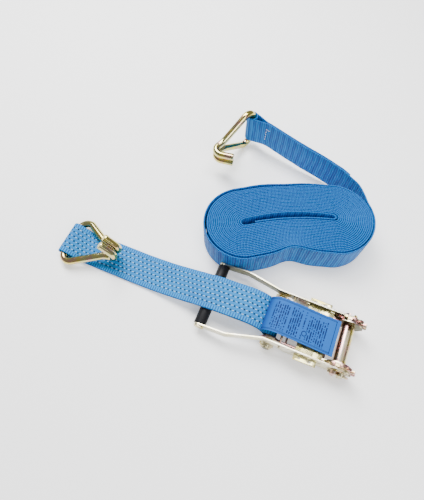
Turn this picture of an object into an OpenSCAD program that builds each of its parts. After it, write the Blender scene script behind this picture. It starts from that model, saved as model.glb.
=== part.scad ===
// Ratchet strap: a short fixed end and a long loose end of 50 mm polyester webbing, each with a double-J wire
// hook. The closed ratchet lies handle up, the short end is laid back over its grip, and the long end stands
// beside it, rolled up on its edge.
// Origin: centre of the spool's winding slot. +X: from the grip to the spool. +Y: along the spool. +Z: up.

/* [Webbing] */
// Width of the webbing
web_w = 50; // [40:1:60]
// Thickness of one layer of webbing
web_t = 2.5; // [2:0.1:3]
// Gap kept between webbing and the pieces beside it
soft_gap = 0.3; // [0.2:0.05:0.6]

/* [Ratchet] */
// Spool axis to grip axis, along the closed handle
handle_reach = 188; // [160:1:230]
// Height of the grip axis above the ground when the handle is closed
grip_rise = 14; // [12:0.5:18]
// Spool axis to tail bolt axis, along the frame
frame_reach = 94; // [88:1:110]
// Depth of the tail bolt axis below the spool axis
bolt_drop = 9.5; // [8:0.5:10]
// Clear width between the webbing's edges and the frame plates, each side
web_side = 2.5; // [1.5:0.5:5]
// Thickness of a frame plate
frame_t = 3; // [2:0.5:4]
// Thickness of a handle arm
arm_t = 2.5; // [2:0.5:4]
// How far each arm flares outwards towards the grip
arm_flare = 11.9; // [6:0.1:16]

/* [Spool and wheels] */
// Radius of the split spool
spool_r = 8.5; // [7.5:0.25:10]
// Width of the slot that the webbing is threaded through
slot_w = 5; // [4.4:0.2:6]
// Outer radius of the ratchet wheels
wheel_r = 22.5; // [21:0.5:25]
// Depth of the gaps between the teeth
tooth_h = 5.1; // [4:0.1:5.5]
// Thickness of a ratchet wheel
wheel_t = 3.5; // [2.5:0.5:4]
// Radial clearance of the running fits
run_fit = 0.05; // [0.03:0.01:0.1]
// Side gap between the plates stacked on the spool
stack_gap = 0.3; // [0.2:0.05:0.5]

/* [Pawls] */
// Thickness of the drive pawl and of the lock plate
pawl_t = 3; // [2.5:0.1:3]
// Length of the drive pawl, from its nose to its shoulder
drive_len = 35; // [32:1:38]
// Length of the lock plate, from its nose to its shoulder
lock_len = 32; // [28:1:34]
// Travel of the drive pawl from rest into the teeth
drive_in = 5; // [4:0.5:5]
// Travel of the drive pawl from rest away from the teeth
drive_out = 4; // [3:0.5:6]
// Travel of the lock plate out of the teeth
lock_out = 7; // [6:0.5:8]
// Free length of both pawl springs
spring_len = 20; // [18:1:24]

/* [Hooks] */
// Diameter of the hook wire
wire_d = 11; // [9:0.5:12]
// How far the straight base bar stops short of the webbing's edges, each side
bar_short = 4.4; // [2:0.2:5]
// Angle at which the legs close in towards the jaws
leg_in = 29; // [27:1:31]
// Bend radius of the corners beside the base bar
corner_r = 13; // [12:0.5:15]
// Bend radius of the jaws
jaw_r = 11; // [10:0.5:14]
// Turn of each jaw
jaw_turn = 125; // [110:5:160]
// Straight length of each prong past its jaw
prong_len = 20; // [16:1:26]
// Gap between the two prongs
prong_gap = 2; // [1:0.5:4]
// Upward tilt of the short end's hook as it lies on the webbing
hook_tilt = 9; // [9:1:20]
// Heading of the long end's hook, seen from above
hook_heading = 243; // [225:1:255]

/* [Long end] */
// Number of turns in the roll
turns = 20; // [16:1:20]
// Gap between one turn and the next
turn_gap = 0.15; // [0.1:0.05:0.3]
// Half length of the roll's slot, without its round ends
roll_a = 66; // [56:1:70]
// Half width of the slot
roll_gap = 4.5; // [4:0.5:6]
// Rise of the arched slot over its ends
roll_arch = 6; // [0:0.5:8]
// Depth of the dent in the front of the roll, as a share of the roll's half width
roll_dent = 0.12; // [0:0.01:0.15]
// Angle of the roll, seen from above
roll_turn = 26; // [20:1:30]
// Height of the webbing's lower edge at the long end's hook
eye_rise = 16; // [15.5:0.1:20]

/* [Hidden] */
$fn = 64;
eps = 0.01;

ground = -wheel_r;
half_w = web_w / 2;
turn_pitch = web_t + turn_gap;

// The stack along the spool, from the webbing outwards
frame_y = half_w + web_side;
wheel_y = frame_y + frame_t + stack_gap;
arm_y = wheel_y + wheel_t + stack_gap;
washer_t = 1.2;
washer_y = arm_y + arm_t + stack_gap / 2;
washer_r = 12;
split_pin_r = 1.5;
split_pin_y = washer_y + washer_t + stack_gap + split_pin_r;
split_pin_tail = 3;
split_eye_r = 2.4;
split_eye_wire_r = 1;
spool_end = 2.5;
spool_half_len = split_pin_y + spool_end;

// Wheels: a gap faces each pawl, half a tooth above or below the spool axis
teeth = 12;
pitch = 360 / teeth;
root_r = wheel_r - tooth_h;
gap_root_half = 2.7;
gap_tip_half = 3.5;
pawl_z = (root_r + tooth_h / 2) * sin(pitch / 2);

// Frame plates
frame_nose_r = root_r - 1;
pawl_over_frame = 0.8;
frame_top = pawl_z - pawl_t / 2 - pawl_over_frame;
frame_back_top = 8.5;
frame_bottom = -13;
tail_r = 11;
slot_fit = 0.2;
peep_r = 2;
peep_at = [14 - frame_reach, -3];
frame_back_x = 6 - frame_reach;
frame_heel_x = 16 - frame_reach;
tail_round = 40;
seat_clear = 1;

// Tail bolt, M10
bolt_r = 5;
bolt_flats = 17;
bolt_head_h = 6.4;
nut_h = 8;
nut_collar_h = 2.5;
bolt_past_nut = 1.5;
hex_r = bolt_flats / 2 / cos(30);
sleeve_wall = 1.4;
sleeve_r = bolt_r + run_fit + sleeve_wall;
bolt_at = [-frame_reach, -bolt_drop];

// Pawls and their springs
nose_gap = 0.6;
drive_nose = wheel_r + nose_gap;
lock_nose = root_r + nose_gap;
drive_back = drive_nose + drive_len;
lock_back = lock_nose + lock_len;
pawl_half_y = arm_y - 0.4;
ear_out = 7.5;
ear_len = 30;
ear_holes = [8, 22];
ear_hole_r = 1.5;
tongue_len = 8;
tongue_w = 4;
spring_r = 3.9;
spring_wire_r = 0.6;
spring_turns = 6;
seat_t = 2;
seat_tenon = 8;
seat_drop = 7;
rivet_out = 1;
drive_seat_x = -drive_back - spring_len;
seat_tenon_z = frame_top + pawl_over_frame;
lock_seat_x = -lock_back - spring_len;

// Handle
arm_nose_r = 14.5;
arm_top = 14;
arm_bottom = -10;
arm_end_r = 7.5;
bolt_clear = 1.6;
flare_start = frame_reach + 8;
flare_end = handle_reach - 38;
knee_rise = 14;
knee_drop = 0.5;
shoulder_x = 60;
heel_len = 12;
nose_drop = 2;
bolt_side_clear = 1;
grip_at = [-handle_reach, ground + grip_rise];
grip_rod_r = 5;
grip_r = 8.5;
grip_y = arm_y + arm_flare;
rivet_head_r = 7;
rivet_head_h = 1.4;

// Hooks
wire_r = wire_d / 2;
prong_y = wire_r + prong_gap / 2;
leg_r = 30;
bar_half = half_w - bar_short;
hook_len = leg_r * sin(leg_in) + corner_r * (1 + sin(leg_in))
    + (bar_half - prong_y - leg_r * (1 - cos(leg_in)) + corner_r * cos(leg_in)) / tan(leg_in);
tip_bevel = 1;
loop_in = corner_r - sqrt(pow(corner_r - wire_r, 2) - pow(bar_short, 2)) + soft_gap;
loop_out = loop_in + web_t;

// Short end: route of the doubled webbing's middle, seen from the side. It lies flat, climbs over the grip
// and dives between the arms; dive(f) is a place part way from the grip to the foot of the dive.
short_past_grip = 233;
loop_len = 24;
hook_bar_at = [-handle_reach - short_past_grip, ground + loop_out];
flat_z = ground + web_t;
grip_lift = 0.9;
over_grip = grip_at[1] + grip_r + web_t + grip_lift;
tail_loop_in = sleeve_r + soft_gap;
tail_loop_out = tail_loop_in + web_t;
drum_sink = 0.06;
ply_lap = 1;
dive_foot = 12;
function dive(f, rise) = [-handle_reach + f * (handle_reach - frame_reach - dive_foot), over_grip + rise];
short_route = [
    [hook_bar_at[0] + loop_len, flat_z], [hook_bar_at[0] + loop_len + 40, flat_z],
    [-handle_reach - 112, flat_z], [-handle_reach - 74, flat_z + 4], [-handle_reach - 37, over_grip - 10.5],
    dive(0, 0), dive(0.37, 4.5), dive(0.67, 7), dive(0.88, 3.5), dive(1, -4.5)
];

// Label: side view of its route over the ratchet
label_t = 0.9;
label_end = -spool_r - 4.5;
label_len = frame_reach + 10 + label_end;
label_route = [
    [label_end - label_len, 9.5], [label_end - 0.96 * label_len, 15.5], [label_end - 0.88 * label_len, 18.6],
    [label_end - 0.76 * label_len, 18.8], [label_end - 0.5 * label_len, 16.6],
    [label_end - 0.23 * label_len, 14], [label_end, 12]
];

// Long end
roll_d = roll_gap + turns * turn_pitch;
roll_clear = 1.3;
roll_ahead = 64;
roll_at = [roll_ahead - handle_reach,
           grip_y + arm_t + rivet_head_h + roll_clear + roll_d + roll_a * sin(roll_turn)];
lead_angle = 20;
lead_d = roll_d + web_t / 2 + 0.1;
eye_at = roll_at + (roll_a + roll_d) * [-0.931, 1.247];
eye_len = 28;
eye_seam = 4;
eye_slit = 0.2;
seam_gap = 0.05;
lead_shape = [[0.664, 0.777], [0.437, 0.915], [0.162, 0.996], [-0.13, 1.053], [-0.421, 1.126], [-0.65, 1.19]];
lead_route = concat(
    [roll_point([roll_a + lead_d * cos(lead_angle), lead_d * sin(lead_angle)])],
    [for (f = lead_shape) roll_at + (roll_a + roll_d) * f]
);
lead_end = eye_at + (eye_len + seam_gap) * unit(lead_route[len(lead_route) - 1] - eye_at);
fold_from = 0.24;

// ---------- helpers ----------

// Point of the roll's own plan, moved and turned to its place
function roll_point(p) = [
    roll_at[0] + p[0] * cos(roll_turn) - p[1] * sin(roll_turn),
    roll_at[1] + p[0] * sin(roll_turn) + p[1] * cos(roll_turn)
];

// Middle of the arched slot, and one side of the roll at distance d from it
function arch(x) = roll_arch * (1 - pow(x / roll_a, 2));
function dent(x, d, side) = (side < 0 ? roll_dent : roll_dent / 3) * exp(-pow(x / 36, 2)) * d / roll_d;
function roll_side(x, d, side) = [x, arch(x) + side * d * (1 - dent(x, d, side))];
function roll_wall(d, side, n = 16) = [for (i = [0:n]) roll_side(roll_a * (2 * i / n - 1), d, side)];
function roll_cap(d, end, n = 16) = [for (i = [0:n])
    [end * (roll_a + d * sin(180 * i / n)), -d * cos(180 * i / n)]];
function backwards(p) = [for (i = [len(p) - 1:-1:0]) p[i]];

// Smooth curve through a list of points, n steps to each stretch
function at(p, i) = p[max(0, min(len(p) - 1, i))];
function curve_point(a, b, c, d, t) = 0.5 * (2 * b + (c - a) * t + (2 * a - 5 * b + 4 * c - d) * t * t
    + (3 * b - a - 3 * c + d) * t * t * t);
function curve(p, n) = concat(
    [for (i = [0:len(p) - 2], k = [0:n - 1])
        curve_point(at(p, i - 1), at(p, i), at(p, i + 1), at(p, i + 2), k / n)],
    [p[len(p) - 1]]
);

// Unit normal, to the left of the way along a list of points
function unit(v) = v / norm(v);
function left_of(p, i) = let (v = unit(at(p, i + 1) - at(p, i - 1))) [-v[1], v[0]];

// Closed outline of a band that follows a list of points
function band(p, h) = concat(
    [for (i = [0:len(p) - 1]) p[i] + h * left_of(p, i)],
    [for (i = [len(p) - 1:-1:0]) p[i] - h * left_of(p, i)]
);

// Point where a line from p touches a circle of radius r at the origin, on one side
function touch(p, r, side) = let (a = atan2(p[1], p[0]) + side * acos(r / norm(p))) r * [cos(a), sin(a)];

// Side view drawn in X and Z, standing in the row between y0 and y0 + t
module upright(y0, t) {
    translate([0, y0 + t, 0]) rotate([90, 0, 0]) linear_extrude(t) children();
}

// Round bar along Y
module rod(at_xz, y0, y1, r) {
    translate([at_xz[0], y1, at_xz[1]]) rotate([90, 0, 0]) cylinder(r = r, h = y1 - y0);
}

// Box given by its low and high corners
module block(lo, hi) {
    translate(lo) cube(hi - lo);
}

// Closed skin over a row of rings, each ring listed against the screw direction of travel
module skin(rings) {
    sides = len(rings[0]);
    last = len(rings) - 1;
    polyhedron(
        [for (ring = rings) each ring],
        concat(
            [[for (k = [sides - 1:-1:0]) k]],
            [for (i = [0:last - 1], k = [0:sides - 1])
                let (a = i * sides + k, b = i * sides + (k + 1) % sides) [a, b, b + sides, a + sides]],
            [[for (k = [0:sides - 1]) last * sides + k]]
        ),
        convexity = 10
    );
}

// Block of webbing loop along Y: a drum at the origin that narrows to the doubled webbing at p
module loop_block(p, half, r, y0, t) {
    n = [-unit(p)[1], unit(p)[0]];
    s = r - drum_sink;
    rod([0, 0], y0, y0 + t, r);
    upright(y0, t)
        polygon([touch(p + half * n, s, 1), p + half * n, p - half * n, touch(p - half * n, s, -1), [0, 0]]);
}

// One side of the frame, standing inside its wheel
module frame_plate(y0) {
    slot_z = pawl_t / 2 + slot_fit;
    color("rosybrown") difference() {
        upright(y0, frame_t) difference() {
            union() {
                circle(r = frame_nose_r);
                translate(bolt_at) circle(r = tail_r);
                polygon([
                    [0, frame_top], [drive_seat_x - seat_t - seat_clear, frame_top],
                    [frame_back_x, frame_back_top],
                    bolt_at + tail_r * [-cos(tail_round), sin(tail_round)], bolt_at + [0, -tail_r],
                    [frame_heel_x, frame_bottom], [0, frame_bottom]
                ]);
            }
            translate([-lock_back - lock_out - slot_fit, -pawl_z - slot_z])
                square([lock_len + lock_out + 2 * slot_fit, 2 * slot_z]);
            translate([lock_seat_x - seat_t, -pawl_z - seat_tenon / 2]) square([seat_t, seat_tenon]);
            translate(peep_at) circle(r = peep_r);
        }
        rod([0, 0], y0 - 1, y0 + frame_t + 1, spool_r + run_fit);
        rod(bolt_at, y0 - 1, y0 + frame_t + 1, bolt_r + run_fit);
    }
}
module frame_plate_left() { frame_plate(frame_y); }
module frame_plate_right() { frame_plate(-frame_y - frame_t); }

// Hexagon bolt that joins the frame plates at the tail
module tail_bolt() {
    color("khaki") {
        rod(bolt_at, -frame_y - frame_t - nut_h - nut_collar_h - bolt_past_nut, frame_y + frame_t + eps, bolt_r);
        upright(frame_y + frame_t, bolt_head_h) translate(bolt_at) circle(r = hex_r, $fn = 6);
    }
}

// Locking nut with its round collar
module tail_nut() {
    y1 = -frame_y - frame_t;
    color("khaki") difference() {
        union() {
            upright(y1 - nut_h, nut_h) translate(bolt_at) circle(r = hex_r, $fn = 6);
            rod(bolt_at, y1 - nut_h - nut_collar_h, y1 - nut_h + eps, bolt_flats / 2 - 1);
        }
        rod(bolt_at, y1 - nut_h - nut_collar_h - 1, y1 + 1, bolt_r);
    }
}

// Spacer tube that the short end is sewn round
module tail_sleeve() {
    color("darkkhaki") difference() {
        rod(bolt_at, -frame_y + run_fit, frame_y - run_fit, sleeve_r);
        rod(bolt_at, -frame_y - 1, frame_y + 1, bolt_r + run_fit);
    }
}

// Cross plate with a tenon in each side plate, riveted over outside
module cross_seat(x1, half_y, z_lo, z_hi, tenon_y, tenon_z) {
    block([x1 - seat_t, -half_y, z_lo], [x1, half_y, z_hi]);
    block([x1 - seat_t, -tenon_y, tenon_z], [x1, tenon_y, tenon_z + seat_tenon]);
}
module lock_spring_seat() {
    color("rosybrown")
        cross_seat(lock_seat_x, frame_y, frame_bottom + seat_clear, 0, frame_y + frame_t + rivet_out,
                   -pawl_z - seat_tenon / 2);
}
module pawl_spring_seat() {
    color("khaki")
        cross_seat(drive_seat_x, frame_y - stack_gap, pawl_z - seat_drop, seat_tenon_z + seat_tenon,
                   arm_y + arm_t + rivet_out, seat_tenon_z);
}

// Coil spring along X, from x0 to x0 + length
module spring(x0, length, z) {
    steps = 12;
    sides = 6;
    rise = length - 2 * spring_wire_r - 0.1;
    n = spring_turns * steps;
    color("silver") skin([for (i = [0:n]) [for (k = [0:sides - 1])
        let (a = 360 * i / steps, r = spring_r + spring_wire_r * cos(360 * k / sides))
        [x0 + 0.05 + spring_wire_r + rise * i / n + spring_wire_r * sin(360 * k / sides),
         r * cos(a), z + r * sin(a)]]]);
}
module lock_spring() { spring(lock_seat_x, spring_len, -pawl_z); }
module pawl_spring() { spring(drive_seat_x, spring_len, pawl_z); }

// Cloth label, sewn to the short end and laid over the ratchet
module label() {
    color("royalblue") upright(-half_w, web_w) polygon(band(curve(label_route, 4), label_t / 2));
}

// One arm of the handle: its side view crossed with its plan, then pierced
module handle_arm(side) {
    bolt_top = -bolt_drop + bolt_flats / 2 + bolt_clear;
    nut_clear = hex_r + bolt_side_clear;
    end_x = handle_reach + arm_end_r + 1;
    widest = grip_y + arm_t + 1;
    color("beige") difference() {
        intersection() {
            upright(side > 0 ? 0 : -widest, widest) union() {
                circle(r = arm_nose_r);
                translate(grip_at) circle(r = arm_end_r);
                polygon([
                    [0, arm_nose_r], [-shoulder_x, arm_top], [-frame_reach - nut_clear, arm_top],
                    [-flare_end, grip_at[1] + knee_rise], grip_at + [0, arm_end_r], grip_at - [0, arm_end_r],
                    [-flare_end, grip_at[1] - knee_drop], [-frame_reach - nut_clear, bolt_top],
                    [-frame_reach + nut_clear, bolt_top], [-frame_reach + nut_clear + heel_len, arm_bottom],
                    [0, arm_bottom - nose_drop]
                ]);
            }
            translate([0, 0, ground]) linear_extrude(-2 * ground) polygon([
                [arm_nose_r + 1, side * arm_y], [-flare_start, side * arm_y], [-flare_end, side * grip_y],
                [-end_x, side * grip_y], [-end_x, side * (grip_y + arm_t)],
                [-flare_end, side * (grip_y + arm_t)], [-flare_start, side * (arm_y + arm_t)],
                [arm_nose_r + 1, side * (arm_y + arm_t)]
            ]);
        }
        rod([0, 0], -widest, widest, spool_r + run_fit);
        rod(grip_at, -widest, widest, grip_rod_r + run_fit);
        block([-drive_back - drive_out - slot_fit, -widest, pawl_z - pawl_t / 2 - slot_fit],
              [-drive_back + ear_len + drive_in + slot_fit, widest, pawl_z + pawl_t / 2 + slot_fit]);
        block([drive_seat_x - seat_t, -widest, seat_tenon_z], [drive_seat_x, widest, seat_tenon_z + seat_tenon]);
    }
}
module handle_arm_left() { handle_arm(1); }
module handle_arm_right() { handle_arm(-1); }

// Rod through the grip, riveted over outside each arm
module grip_rod() {
    outer = grip_y + arm_t;
    color("khaki") {
        rod(grip_at, -outer - eps, outer + eps, grip_rod_r);
        rod(grip_at, outer, outer + rivet_head_h, rivet_head_r);
        rod(grip_at, -outer - rivet_head_h, -outer, rivet_head_r);
    }
}
module grip_sleeve() {
    color("#1d1c20") difference() {
        rod(grip_at, -grip_y + stack_gap, grip_y - stack_gap, grip_r);
        rod(grip_at, -grip_y - 1, grip_y + 1, grip_rod_r + run_fit);
    }
}

// Sliding plate in the handle, with an ear through each arm and a tongue in its spring
module drive_pawl() {
    z0 = pawl_z - pawl_t / 2;
    z1 = pawl_z + pawl_t / 2;
    color("palegoldenrod") difference() {
        union() {
            block([-drive_back, -pawl_half_y, z0], [-drive_nose, pawl_half_y, z1]);
            block([-drive_back, -arm_y - arm_t - ear_out, z0],
                  [-drive_back + ear_len, arm_y + arm_t + ear_out, z1]);
            block([-drive_back - tongue_len, -tongue_w / 2, z0], [-drive_back + 1, tongue_w / 2, z1]);
        }
        for (side = [-1, 1], x = ear_holes)
            translate([-drive_back + x, side * (arm_y + arm_t + ear_out / 2), z0 - 1])
                cylinder(r = ear_hole_r, h = pawl_t + 2);
    }
}

// Sliding plate in the frame that holds both wheels
module lock_plate() {
    z0 = -pawl_z - pawl_t / 2;
    z1 = -pawl_z + pawl_t / 2;
    color("tan") union() {
        block([-lock_back, -pawl_half_y, z0], [-lock_nose, pawl_half_y, z1]);
        block([-lock_back - tongue_len, -tongue_w / 2, z0], [-lock_back + 1, tongue_w / 2, z1]);
    }
}

// Half-moon bar of the spool, on one side of the winding slot
module spool_half(side) {
    color(side > 0 ? "cornsilk" : "rosybrown") difference() {
        upright(-spool_half_len, 2 * spool_half_len) intersection() {
            circle(r = spool_r);
            translate([side > 0 ? slot_w / 2 : -slot_w / 2 - spool_r, -spool_r])
                square([spool_r, 2 * spool_r]);
        }
        for (y = [-split_pin_y, split_pin_y])
            translate([-2 * spool_r, y, 0]) rotate([0, 90, 0]) cylinder(r = split_pin_r, h = 4 * spool_r);
    }
}
module spool_half_front() { spool_half(-1); }
module spool_half_rear() { spool_half(1); }

// Ratchet wheel with two half-moon holes; a gap faces each pawl
module ratchet_wheel(y0) {
    color("tan") upright(y0, wheel_t) difference() {
        circle(r = wheel_r);
        for (k = [0:teeth - 1]) rotate(180 + pitch / 2 + k * pitch) polygon([
            [root_r, -gap_root_half], [wheel_r + 1, -gap_tip_half],
            [wheel_r + 1, gap_tip_half], [root_r, gap_root_half]
        ]);
        difference() {
            circle(r = spool_r);
            square([slot_w, 3 * spool_r], center = true);
        }
    }
}
module ratchet_wheel_left() { ratchet_wheel(wheel_y); }
module ratchet_wheel_right() { ratchet_wheel(-wheel_y - wheel_t); }

module spool_washer(y0) {
    color("khaki") difference() {
        rod([0, 0], y0, y0 + washer_t, washer_r);
        rod([0, 0], y0 - 1, y0 + washer_t + 1, spool_r + run_fit);
    }
}
module spool_washer_left() { spool_washer(washer_y); }
module spool_washer_right() { spool_washer(-washer_y - washer_t); }

// Split pin across the spool's end, with its eye
module split_pin(y) {
    color("silver") translate([0, y, 0]) {
        translate([-spool_r - split_pin_tail, 0, 0]) rotate([0, 90, 0])
            cylinder(r = split_pin_r, h = 2 * spool_r + split_pin_tail + split_eye_r - split_eye_wire_r / 2);
        translate([spool_r + split_eye_r + split_pin_r, 0, 0]) rotate([90, 0, 0])
            rotate_extrude() translate([split_eye_r, 0]) circle(r = split_eye_wire_r);
    }
}
module split_pin_left() { split_pin(split_pin_y); }
module split_pin_right() { split_pin(-split_pin_y); }

// Doubled webbing with a loop round the hook's bar and one round the tail sleeve
module short_strap() {
    first = short_route[0] - hook_bar_at;
    last = short_route[len(short_route) - 1] - bolt_at;
    color("deepskyblue") difference() {
        union() {
            upright(-half_w, web_w)
                polygon(band([for (q = curve(short_route, 5)) [q[0], max(q[1], flat_z)]], web_t));
            translate([hook_bar_at[0], 0, hook_bar_at[1]])
                loop_block(first + [ply_lap, 0], web_t, loop_out, -half_w, web_w);
            translate([bolt_at[0], 0, bolt_at[1]]) loop_block(last, web_t, tail_loop_out, -half_w, web_w);
        }
        rod(hook_bar_at, -web_w, web_w, loop_in);
        rod(bolt_at, -web_w, web_w, tail_loop_in);
    }
}

// Ring of the hook's wire at p, square to its way; side and up are the ring's own directions
wire_sides = 14;
bend_steps = 9;
bar_lap = 2;
function wire_ring(p, side, up, r) = [for (k = [0:wire_sides - 1])
    let (a = -360 * k / wire_sides) p + r * (cos(a) * side + sin(a) * up)];

// One leg of the hook: the corner beside the bar, the straight leg, its closing bend, the jaw and the prong
function flat_ring(x, y, h, r = wire_r) = wire_ring([x, y, 0], [-sin(h), cos(h), 0], [0, 0, 1], r);
function jaw_ring(past, r) = wire_ring(
    [hook_len + jaw_r * sin(jaw_turn) + past * cos(jaw_turn), prong_y,
     jaw_r * (1 - cos(jaw_turn)) + past * sin(jaw_turn)],
    [0, 1, 0], [-sin(jaw_turn), 0, cos(jaw_turn)], r);
function leg_rings() = concat(
    [flat_ring(0, bar_half - bar_lap, 90, wire_r - eps)],
    [for (i = [0:bend_steps]) let (h = 90 - (90 + leg_in) * i / bend_steps)
        flat_ring(corner_r * (1 - sin(h)), bar_half + corner_r * cos(h), h, wire_r - eps)],
    [for (i = [0:3]) let (h = -leg_in * (1 - i / 3))
        flat_ring(hook_len + leg_r * sin(h), prong_y + leg_r * (1 - cos(h)), h)],
    [for (i = [1:bend_steps]) let (h = jaw_turn * i / bend_steps)
        wire_ring([hook_len + jaw_r * sin(h), prong_y, jaw_r * (1 - cos(h))],
                  [0, 1, 0], [-sin(h), 0, cos(h)], wire_r)],
    [jaw_ring(prong_len - tip_bevel, wire_r), jaw_ring(prong_len, wire_r - tip_bevel)]
);

// Double-J hook: base bar along Y at the origin, legs towards +X, jaws curling towards +Z
module hook() {
    color("palegoldenrod") union() {
        rod([0, 0], -bar_half, bar_half, wire_r);
        skin(leg_rings());
        mirror([0, 1, 0]) skin(leg_rings());
    }
}
module hook_short() {
    translate([hook_bar_at[0], 0, hook_bar_at[1]]) rotate([0, -hook_tilt, 0]) hook();
}
module hook_long() {
    translate([eye_at[0], eye_at[1], ground + eye_rise + half_w])
        rotate([0, 0, hook_heading]) rotate([-90, 0, 0]) hook();
}

// Webbing rolled up flat, standing on its edge: two walls and two round ends
module roll_piece(outer, inner) {
    color("dodgerblue") translate([roll_at[0], roll_at[1], ground]) rotate(roll_turn)
        linear_extrude(web_w) polygon(concat(outer, backwards(inner)));
}
module roll_front() { roll_piece(roll_wall(roll_d, -1), roll_wall(roll_gap, -1)); }
module roll_back() { roll_piece(roll_wall(roll_d, 1), roll_wall(roll_gap, 1)); }
module roll_end_near_spool() { roll_piece(roll_cap(roll_d, 1), roll_cap(roll_gap, 1)); }
module roll_end_near_grip() { roll_piece(roll_cap(roll_d, -1), roll_cap(roll_gap, -1)); }

// Standing ribbon along a plan route: lower edge z(t), half thickness h(t), t from 0 to 1
function lead_z(t) = ground + eye_rise * t * t * (3 - 2 * t);
function lead_half(t) = t < fold_from ? web_t / 2 : web_t;
module long_strap_lead() {
    p = concat(curve(lead_route, 5), [lead_end]);
    n = len(p) - 1;
    color("dodgerblue") skin([for (i = [0:n])
        let (s = lead_half(i / n) * left_of(p, i), z = lead_z(i / n))
        [[p[i][0] + s[0], p[i][1] + s[1], z], [p[i][0] - s[0], p[i][1] - s[1], z],
         [p[i][0] - s[0], p[i][1] - s[1], z + web_w], [p[i][0] + s[0], p[i][1] + s[1], z + web_w]]]);
}

// Sewn eye that holds the long end's hook
module long_strap_eye() {
    v = lead_end - eye_at;
    color("dodgerblue") translate([eye_at[0], eye_at[1], ground + eye_rise]) rotate(atan2(v[1], v[0]))
        rotate([-90, 0, 0]) difference() {
            loop_block([eye_len, 0], web_t, loop_out, -web_w, web_w);
            loop_block([eye_len - eye_seam, 0], eye_slit, loop_in, -web_w - 1, web_w + 2);
        }
}

frame_plate_left();
frame_plate_right();
tail_bolt();
tail_nut();
tail_sleeve();
lock_spring_seat();
lock_spring();
label();
handle_arm_left();
handle_arm_right();
grip_rod();
grip_sleeve();
pawl_spring_seat();
pawl_spring();
drive_pawl();
lock_plate();
spool_half_front();
spool_half_rear();
ratchet_wheel_left();
ratchet_wheel_right();
spool_washer_left();
spool_washer_right();
split_pin_left();
split_pin_right();
short_strap();
hook_short();
roll_front();
roll_back();
roll_end_near_spool();
roll_end_near_grip();
long_strap_lead();
long_strap_eye();
hook_long();
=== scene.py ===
import bpy, bmesh
import math, random
from mathutils import Vector, Matrix, noise


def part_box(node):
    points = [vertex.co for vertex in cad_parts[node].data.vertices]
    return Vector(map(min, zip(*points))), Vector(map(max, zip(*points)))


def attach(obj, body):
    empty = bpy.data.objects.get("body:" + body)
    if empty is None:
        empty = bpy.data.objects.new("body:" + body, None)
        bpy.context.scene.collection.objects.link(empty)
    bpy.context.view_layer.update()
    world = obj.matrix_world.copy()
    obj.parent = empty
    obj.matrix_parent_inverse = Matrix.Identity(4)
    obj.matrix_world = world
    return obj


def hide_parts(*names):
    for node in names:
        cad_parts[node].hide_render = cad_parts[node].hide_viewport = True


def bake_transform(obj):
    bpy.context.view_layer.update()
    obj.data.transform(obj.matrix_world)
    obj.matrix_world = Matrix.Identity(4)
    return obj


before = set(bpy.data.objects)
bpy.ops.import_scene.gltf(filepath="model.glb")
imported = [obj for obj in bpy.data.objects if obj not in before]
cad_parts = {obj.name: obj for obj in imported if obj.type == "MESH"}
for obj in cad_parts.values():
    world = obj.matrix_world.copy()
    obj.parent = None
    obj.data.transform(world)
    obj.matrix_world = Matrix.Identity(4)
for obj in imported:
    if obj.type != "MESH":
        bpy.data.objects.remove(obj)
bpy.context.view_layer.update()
MM = 0.001

# Sizes in millimetres, in the part's own frame
GROUND = -22.5
WEB_W, WEB_T = 50.0, 2.5
# Half of the gap between two plies
PLY_GAP = 0.02
# Step of every arc, in degrees
ARC_STEP = 5

# The short end, seen from the side: grip, tail bolt and hook's bar, and the webbing's radii and heights
GRIP_X = -188.0
BOLT = (-94.0, -9.5)
HOOK_BAR = (-421.0, GROUND + 9.727)
HOOK_TILT = 9.0
LOOP_R = 7.227 + WEB_T / 2
LOOP_LEN = 24
TAIL_R = 6.75 + WEB_T / 2
FLAT_Z = GROUND + WEB_T
OVER_GRIP = 3.4
STITCH_ROWS, ROW_APART = 6, 6.4
STITCH_FROM, STITCH_APART = 12, 7.0

# The roll in plan: half its slot's length, its wall, the rise of its arch, its heading in degrees
ROLL_A, ROLL_D, ROLL_ARCH, ROLL_TURN = 66.0, 57.5, 6.0, 26.0
ROLL_AT = (-124.0, 138.132)
# Distances from the slot: the free inner lip, the first tight turn, each further turn, the loose last turn
INNER_LIP, FIRST_TURN, TURN_PITCH, LAST_TURN = 3.1, 5.4, 2.66, 58.85
TURN_FROM, TURN_TO, STEPS_A_TURN = 0.03, 20.4028, 96
LONG_STEP = 2.6

# The lead and its eye: the hook's bar, how far the eye is lifted, where the fold-back starts along the lead
EYE = (-238.98, 292.14)
EYE_LEN, EYE_RISE = 28, 16.0
EYE_HEADING = 243
PLY_FROM, PLY_OVER, FOLD_FROM = 0.15, 0.12, 0.24
LEAD_SHAPE = [(0.664, 0.777), (0.437, 0.915), (0.162, 0.996), (-0.13, 1.053), (-0.421, 1.126), (-0.65, 1.19)]

# The hooks' wire, and the two springs: how far each lies above or below the spool's axis
WIRE_R = 5.5
SPRING_Z = 5.16


# ---------- light, camera and floor ----------

def make_camera():
    cam = bpy.data.objects.new("camera", bpy.data.cameras.new("camera"))
    bpy.context.scene.collection.objects.link(cam)
    bpy.context.scene.camera = cam
    cam.data.lens = 27.36
    cam.data.sensor_width = 36
    cam.data.clip_start = 0.01
    cam.location = (-0.1206, -0.1622, 0.5075)
    heading, down = math.radians(22.73), math.radians(64.5)
    ahead = Vector((-math.sin(heading) * math.cos(down), math.cos(heading) * math.cos(down),
                    -math.sin(down)))
    cam.rotation_euler = ahead.to_track_quat("-Z", "Y").to_euler()


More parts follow.
